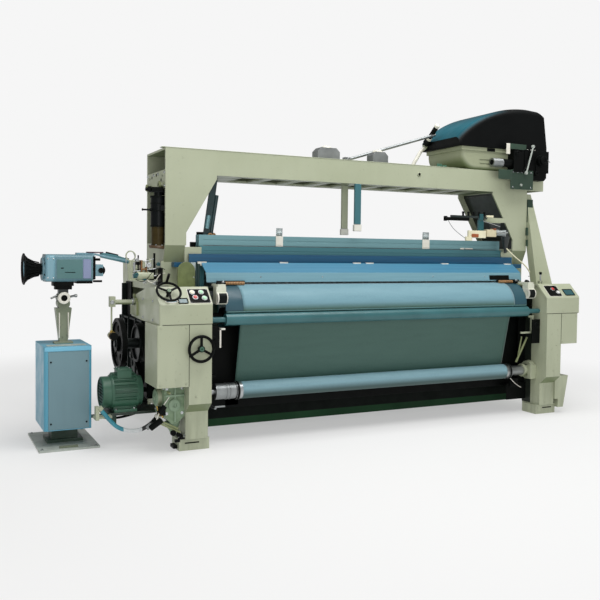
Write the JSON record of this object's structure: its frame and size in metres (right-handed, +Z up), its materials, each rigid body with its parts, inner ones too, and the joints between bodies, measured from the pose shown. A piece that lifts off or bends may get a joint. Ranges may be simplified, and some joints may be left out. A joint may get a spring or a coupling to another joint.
{
  "type": "power loom",
  "caption": "Wide power loom with breast beam, cloth take-up, heald frames, a portal carrying a dobby, a main motor with flywheel, and a weft feeder on its own stand.",
  "frame": {"origin": "on the floor under the middle of the bounding box of loom and feeder stand", "axes": "+X across the cloth to the weaver's right, +Y from the weaver to the warp beam, +Z up"},
  "size_m": [3.528, 1.7019, 2.095],
  "materials": {
    "paint_beige": "satin grey-beige enamel",
    "hood_black": "glossy black moulding",
    "paint_green": "dark green enamel",
    "black_steel": "black enamel",
    "steel": "turned and ground steel",
    "roller_teal": "dark teal enamel",
    "guard_blue": "light blue enamel",
    "heald_alu": "anodised aluminium",
    "cloth": "woven grey-green cloth",
    "yarn": "wound yarn",
    "beam_paint": "blue-grey enamel",
    "motor_green": "green enamel on cast iron",
    "rubber": "black rubber",
    "hose": "teal rubber hose",
    "plastic_black": "black plastic",
    "plastic_cream": "cream plastic",
    "plastic_red": "red plastic",
    "plastic_green": "pale green plastic",
    "plastic_white": "white plastic",
    "stand_blue": "pale blue enamel",
    "feeder_alu": "painted cast aluminium"
  },
  "bodies": {
    "frame": {"side_frame_left": "paint_beige", "side_frame_right": "paint_beige", "cross_beams": "paint_green", "levelling_feet": "black_steel", "console_left": "paint_beige", "console_right": "paint_beige", "cover_left": "paint_beige", "covers_right": "paint_beige", "breast_beam": "beam_paint", "splash_guard": "guard_blue", "gantry": "paint_beige", "strut_right": "paint_beige", "centre_guides": "steel", "dobby_case": "paint_beige", "dobby_hood": "hood_black", "dobby_drive": "black_steel", "stay_tube": "steel", "main_motor": "motor_green", "drive_belt": "rubber", "fabric": "cloth", "warp_sheet": "yarn", "temple_brackets": "steel", "selvedge_unit": "steel", "weft_guide": "paint_beige", "accumulator": "black_steel", "valve_arm": "paint_beige", "water_hose": "hose", "feeder_cable": "rubber", "feeder_base": "paint_green", "control_box": "stand_blue", "feeder_column": "feeder_alu"},
    "shaft": {"main_shaft": "steel", "flywheel": "black_steel"},
    "motor_rotor": {"motor_pulley": "black_steel"},
    "sley": {"sley": "paint_green", "reed": "steel"},
    "press_roller": {"press_roller": "roller_teal"},
    "take_up_roller": {"take_up_roller": "rubber"},
    "cloth_roll": {"cloth_roll": "steel"},
    "warp_beam": {"warp_beam": "paint_green", "warp_yarn": "yarn"},
    "back_roller": {"back_roller": "steel"},
    "take_up_wheel": {"take_up_wheel": "black_steel"},
    "desk_wheel": {"desk_wheel": "black_steel"},
    "lever": {"lever_right": "steel"},
    "valve_knob": {"valve_knob": "plastic_black"},
    "feeder_head": {"feeder_head": "feeder_alu", "feeder_boom": "feeder_alu"},
    "winder_disc": {"winder_disc": "plastic_black"},
    "tension_wheel": {"tension_wheel": "plastic_black"},
    "heald_frame_1": {"heald_frame_1": "heald_alu"},
    "heald_frame_2": {"heald_frame_2": "heald_alu"},
    "heald_frame_3": {"heald_frame_3": "heald_alu"},
    "heald_frame_4": {"heald_frame_4": "heald_alu"},
    "button_cream": {"button_cream": "plastic_cream"},
    "button_red": {"button_red": "plastic_red"},
    "button_green_upper": {"button_green_upper": "plastic_green"},
    "button_green_lower": {"button_green_lower": "plastic_green"},
    "button_right_red": {"button_right_red": "plastic_red"},
    "button_right_white": {"button_right_white": "plastic_white"}
  },
  "joints": [
    {"name": "main_shaft_spin", "type": "hinge", "parent": "frame", "child": "shaft", "pos_m": [0.293, -0.196, 0.524], "axis": [1, 0, 0], "continuous": true},
    {"name": "motor_spin", "type": "hinge", "parent": "frame", "child": "motor_rotor", "pos_m": [-1.107, -0.413, 0.285], "axis": [1, 0, 0], "continuous": true},
    {"name": "sley_swing", "type": "hinge", "parent": "frame", "child": "sley", "pos_m": [0.293, -0.489, 0.52], "axis": [1, 0, 0], "range_deg": [0, 8.5]},
    {"name": "take_up_roller_spin", "type": "hinge", "parent": "frame", "child": "take_up_roller", "pos_m": [0.293, -0.6531, 0.71227], "axis": [1, 0, 0], "continuous": true},
    {"name": "press_roller_spin", "type": "hinge", "parent": "frame", "child": "press_roller", "pos_m": [0.293, -0.7305, 0.695], "axis": [1, 0, 0], "continuous": true},
    {"name": "cloth_roll_spin", "type": "hinge", "parent": "frame", "child": "cloth_roll", "pos_m": [0.293, -0.656, 0.29], "axis": [1, 0, 0], "continuous": true},
    {"name": "take_up_wheel_spin", "type": "hinge", "parent": "frame", "child": "take_up_wheel", "pos_m": [-0.944, -0.843, 0.554], "axis": [0, -1, 0], "continuous": true},
    {"name": "warp_beam_spin", "type": "hinge", "parent": "frame", "child": "warp_beam", "pos_m": [0.293, 0.471, 0.47], "axis": [1, 0, 0], "continuous": true},
    {"name": "back_roller_spin", "type": "hinge", "parent": "frame", "child": "back_roller", "pos_m": [0.293, 0.591, 0.93], "axis": [1, 0, 0], "continuous": true},
    {"name": "desk_wheel_spin", "type": "hinge", "parent": "frame", "child": "desk_wheel", "pos_m": [-1.106, -0.768, 0.8295], "axis": [0, -0.7032, 0.711], "continuous": true},
    {"name": "lever_tilt", "type": "hinge", "parent": "frame", "child": "lever", "pos_m": [1.512, -0.689, 0.885], "axis": [1, 0, 0], "range_deg": [-20, 20]},
    {"name": "valve_knob_turn", "type": "hinge", "parent": "frame", "child": "valve_knob", "pos_m": [-1.303, -0.349, 0.59], "axis": [0, 1, 0], "range_deg": [-180, 180]},
    {"name": "feeder_tilt", "type": "hinge", "parent": "frame", "child": "feeder_head", "pos_m": [-1.552, -0.264, 0.8], "axis": [0, 1, 0], "range_deg": [-10, 10]},
    {"name": "winder_disc_spin", "type": "hinge", "parent": "feeder_head", "child": "winder_disc", "pos_m": [-1.668, -0.264, 0.958], "axis": [1, 0, 0], "continuous": true},
    {"name": "tension_wheel_spin", "type": "hinge", "parent": "feeder_head", "child": "tension_wheel", "pos_m": [-1.352, -0.264, 0.952], "axis": [0, 1, 0], "continuous": true},
    {"name": "heald_1_lift", "type": "slide", "parent": "frame", "child": "heald_frame_1", "axis": [0, 0, 1], "range_m": [0, 0.064]},
    {"name": "heald_2_lift", "type": "slide", "parent": "frame", "child": "heald_frame_2", "axis": [0, 0, 1], "range_m": [-0.064, 0]},
    {"name": "heald_3_lift", "type": "slide", "parent": "frame", "child": "heald_frame_3", "axis": [0, 0, 1], "range_m": [0, 0.064]},
    {"name": "heald_4_lift", "type": "slide", "parent": "frame", "child": "heald_frame_4", "axis": [0, 0, 1], "range_m": [-0.064, 0]},
    {"name": "button_cream_press", "type": "slide", "parent": "frame", "child": "button_cream", "axis": [0, -0.7032, 0.711], "range_m": [-0.004, 0], "stiffness_N_per_m": 400},
    {"name": "button_red_press", "type": "slide", "parent": "frame", "child": "button_red", "axis": [0, -0.7032, 0.711], "range_m": [-0.004, 0], "stiffness_N_per_m": 400},
    {"name": "button_green_upper_press", "type": "slide", "parent": "frame", "child": "button_green_upper", "axis": [0, -0.7032, 0.711], "range_m": [-0.004, 0], "stiffness_N_per_m": 400},
    {"name": "button_green_lower_press", "type": "slide", "parent": "frame", "child": "button_green_lower", "axis": [0, -0.7032, 0.711], "range_m": [-0.004, 0], "stiffness_N_per_m": 400},
    {"name": "button_right_red_press", "type": "slide", "parent": "frame", "child": "button_right_red", "axis": [0, -0.7032, 0.711], "range_m": [-0.004, 0], "stiffness_N_per_m": 400},
    {"name": "button_right_white_press", "type": "slide", "parent": "frame", "child": "button_right_white", "axis": [0, -0.7032, 0.711], "range_m": [-0.004, 0], "stiffness_N_per_m": 400}
  ],
  "couplings": [
    {"joint": "motor_spin", "follows": "main_shaft_spin", "ratio": 2.4444},
    {"joint": "press_roller_spin", "follows": "take_up_roller_spin", "ratio": -1.3743},
    {"joint": "cloth_roll_spin", "follows": "take_up_roller_spin", "ratio": -0.9387},
    {"joint": "take_up_wheel_spin", "follows": "take_up_roller_spin", "ratio": 12},
    {"joint": "back_roller_spin", "follows": "warp_beam_spin", "ratio": 4.9312}
  ]
}
